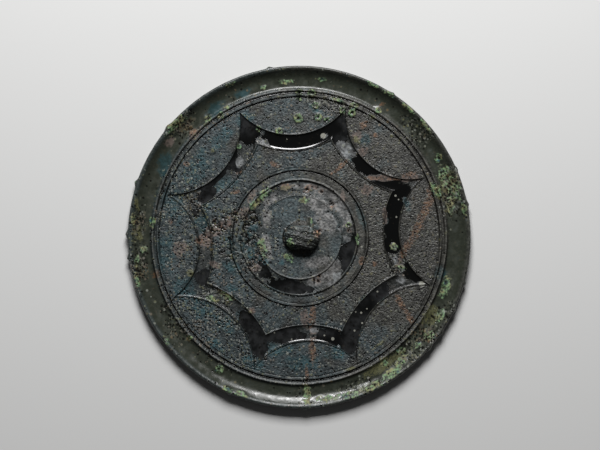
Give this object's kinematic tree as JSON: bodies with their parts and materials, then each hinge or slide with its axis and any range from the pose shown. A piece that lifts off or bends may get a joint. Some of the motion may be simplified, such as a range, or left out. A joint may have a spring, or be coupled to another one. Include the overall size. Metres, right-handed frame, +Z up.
{
  "type": "ancient bronze mirror",
  "caption": "Round cast bronze mirror lying face down, its back showing a plain hollow rim, raised ring lines, linked concave arcs and a ribbed knob with a cord hole.",
  "frame": {"origin": "centre of the polished face, which is the flat underside that the mirror lies on", "axes": "+Z up out of the decorated back, through the knob; +Y along the knob's cord hole; +X across it"},
  "size_m": [0.1812, 0.1811, 0.0106],
  "materials": {
    "patinated_bronze": "dark buried-bronze patina, glossy black in the hollows, with green, blue and rust-brown corrosion"
  },
  "bodies": {
    "root": {"mirror": "patinated_bronze"}
  },
  "joints": []
}
